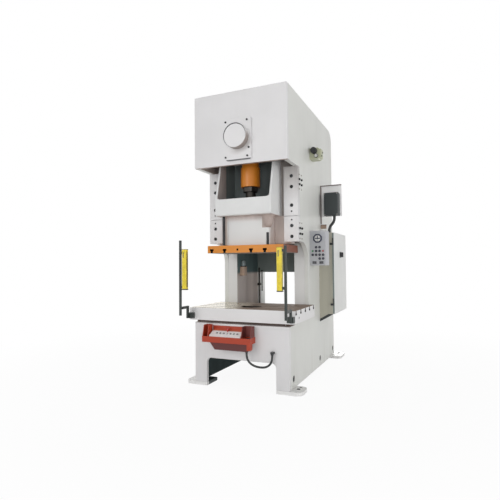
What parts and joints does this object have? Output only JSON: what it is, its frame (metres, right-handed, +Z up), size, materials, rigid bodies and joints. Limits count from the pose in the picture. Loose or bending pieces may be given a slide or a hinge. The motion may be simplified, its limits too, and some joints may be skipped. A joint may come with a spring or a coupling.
{
  "type": "gap frame power press",
  "caption": "C-frame crank press with an open throat, slotted table, slide with a window, flywheel drive, side cabinet, light curtain and two-hand control tray.",
  "frame": {"origin": "centre of the anchor bolt pattern on the floor", "axes": "+Z up, +Y from the operator towards the back, +X to the operator's right, where the cabinet is"},
  "size_m": [1.444, 2.32, 3.1],
  "materials": {
    "frame_paint": "semi-gloss off-white machine enamel",
    "front_paint": "semi-gloss off-white machine enamel",
    "inner_paint": "dull grey-brown inside paint",
    "back_paint": "dark grey-green paint",
    "slide_paint": "off-white enamel on a casting",
    "gib_iron": "off-white enamel, scraped faces",
    "table_steel": "ground plate, painted edges",
    "ram_orange": "orange enamel",
    "machined_steel": "turned steel",
    "bronze": "bearing bronze",
    "black_steel": "blackened steel",
    "black_iron": "black paint",
    "wheel_iron": "dark machine paint",
    "motor_paint": "blue-grey motor enamel",
    "belt_rubber": "ribbed rubber",
    "cabinet_paint": "light grey powder coat",
    "switch_plastic": "black moulded plastic",
    "box_black": "black crackle paint",
    "panel_grey": "grey hammered paint",
    "dial_face": "pale dial plate",
    "pointer_red": "red pointer",
    "button_red": "red button",
    "button_green": "green button",
    "tray_red": "orange-red powder coat",
    "bracket_maroon": "dark maroon paint",
    "console_white": "white enamel",
    "cable_rubber": "black cable sheath",
    "curtain_yellow": "yellow anodised bar",
    "air_grey": "grey-green die casting"
  },
  "bodies": {
    "frame": {"side_plate_left": "frame_paint", "side_plate_right": "frame_paint", "base_front_plate": "front_paint", "base_rear_plate": "frame_paint", "bed_plate": "frame_paint", "column_left": "inner_paint", "column_right": "inner_paint", "foot_plates": "frame_paint", "crown_front_plate": "front_paint", "crown_cover": "frame_paint", "crown_web": "frame_paint", "throat_back_panel": "back_paint", "gib_caps_left": "gib_iron", "gib_caps_right": "gib_iron", "guide_block_left": "gib_iron", "guide_block_right": "gib_iron", "gib_cap_screws": "black_steel", "bolster": "table_steel", "bearing_cap": "front_paint", "crank_bushes": "bronze", "drive_belt": "belt_rubber", "motor": "motor_paint", "motor_shelf": "inner_paint", "cabinet_body": "cabinet_paint", "cable_hood": "cabinet_paint", "relay_box": "box_black", "relay_bracket": "frame_paint", "relay_hose": "cable_rubber", "panel_box": "panel_grey", "angle_dial": "dial_face", "control_tray": "tray_red", "control_console": "console_white", "tray_bracket": "bracket_maroon", "control_cable": "cable_rubber", "cable_glands": "switch_plastic", "curtain_stand_left": "black_iron", "curtain_stand_right": "black_iron", "curtain_bar_left": "curtain_yellow", "curtain_bar_right": "curtain_yellow", "air_regulator": "air_grey", "air_line": "machined_steel"},
    "slide": {"slide_body": "slide_paint", "die_plate": "ram_orange", "ejector_rods": "black_steel", "connecting_rod": "ram_orange", "adjusting_screw": "machined_steel", "lock_nut": "machined_steel", "crank_pin": "machined_steel"},
    "crank": {"crankshaft": "machined_steel"},
    "flywheel": {"flywheel": "wheel_iron"},
    "motor_pulley": {"motor_pulley": "machined_steel"},
    "dial_pointer": {"dial_pointer": "pointer_red"},
    "cabinet_door": {"cabinet_door": "cabinet_paint"},
    "main_switch": {"main_switch": "switch_plastic"},
    "palm_button_left": {"palm_button_left": "button_green"},
    "palm_button_right": {"palm_button_right": "button_green"},
    "stop_button": {"stop_button": "button_red"},
    "panel_stop_button": {"panel_stop_button": "button_red"},
    "panel_start_button": {"panel_start_button": "button_green"},
    "regulator_knob": {"regulator_knob": "switch_plastic"}
  },
  "joints": [
    {"name": "slide_stroke", "type": "slide", "parent": "frame", "child": "slide", "axis": [0, 0, -1], "range_m": [0, 0.18]},
    {"name": "crank_turn", "type": "hinge", "parent": "frame", "child": "crank", "pos_m": [0, -0.7625, 2.6], "axis": [0, 1, 0], "range_deg": [0, 180]},
    {"name": "dial_pointer_turn", "type": "hinge", "parent": "frame", "child": "dial_pointer", "pos_m": [0.626, -0.3125, 1.56692], "axis": [0, 1, 0], "range_deg": [0, 180]},
    {"name": "flywheel_spin", "type": "hinge", "parent": "frame", "child": "flywheel", "pos_m": [0, 0.1175, 2.6], "axis": [0, 1, 0], "continuous": true},
    {"name": "motor_pulley_spin", "type": "hinge", "parent": "frame", "child": "motor_pulley", "pos_m": [0, 0.1175, 1.65], "axis": [0, 1, 0], "continuous": true},
    {"name": "cabinet_door_swing", "type": "hinge", "parent": "frame", "child": "cabinet_door", "pos_m": [0.705, 0.0975, 1.16], "axis": [0, 0, -1], "range_deg": [0, 120]},
    {"name": "main_switch_turn", "type": "hinge", "parent": "cabinet_door", "child": "main_switch", "pos_m": [0.714, 0.47051, 1.39189], "axis": [-1, 0, 0], "range_deg": [0, 90]},
    {"name": "palm_left_press", "type": "slide", "parent": "frame", "child": "palm_button_left", "axis": [0, 0, -1], "range_m": [0, 0.006], "stiffness_N_per_m": 600},
    {"name": "palm_right_press", "type": "slide", "parent": "frame", "child": "palm_button_right", "axis": [0, 0, -1], "range_m": [0, 0.006], "stiffness_N_per_m": 600},
    {"name": "stop_press", "type": "slide", "parent": "frame", "child": "stop_button", "axis": [0, 0, -1], "range_m": [0, 0.005], "stiffness_N_per_m": 600},
    {"name": "panel_stop_press", "type": "slide", "parent": "frame", "child": "panel_stop_button", "axis": [0, 1, 0], "range_m": [0, 0.005], "stiffness_N_per_m": 300},
    {"name": "panel_start_press", "type": "slide", "parent": "frame", "child": "panel_start_button", "axis": [0, 1, 0], "range_m": [0, 0.005], "stiffness_N_per_m": 300},
    {"name": "regulator_knob_turn", "type": "hinge", "parent": "frame", "child": "regulator_knob", "pos_m": [0.588, -0.2825, 2.584], "axis": [0, 1, 0], "range_deg": [0, 300]}
  ],
  "couplings": [
    {"joint": "crank_turn", "follows": "slide_stroke", "rad_per_m": 17.453},
    {"joint": "dial_pointer_turn", "follows": "slide_stroke", "rad_per_m": 17.453},
    {"joint": "motor_pulley_spin", "follows": "flywheel_spin", "ratio": 4.9412}
  ]
}
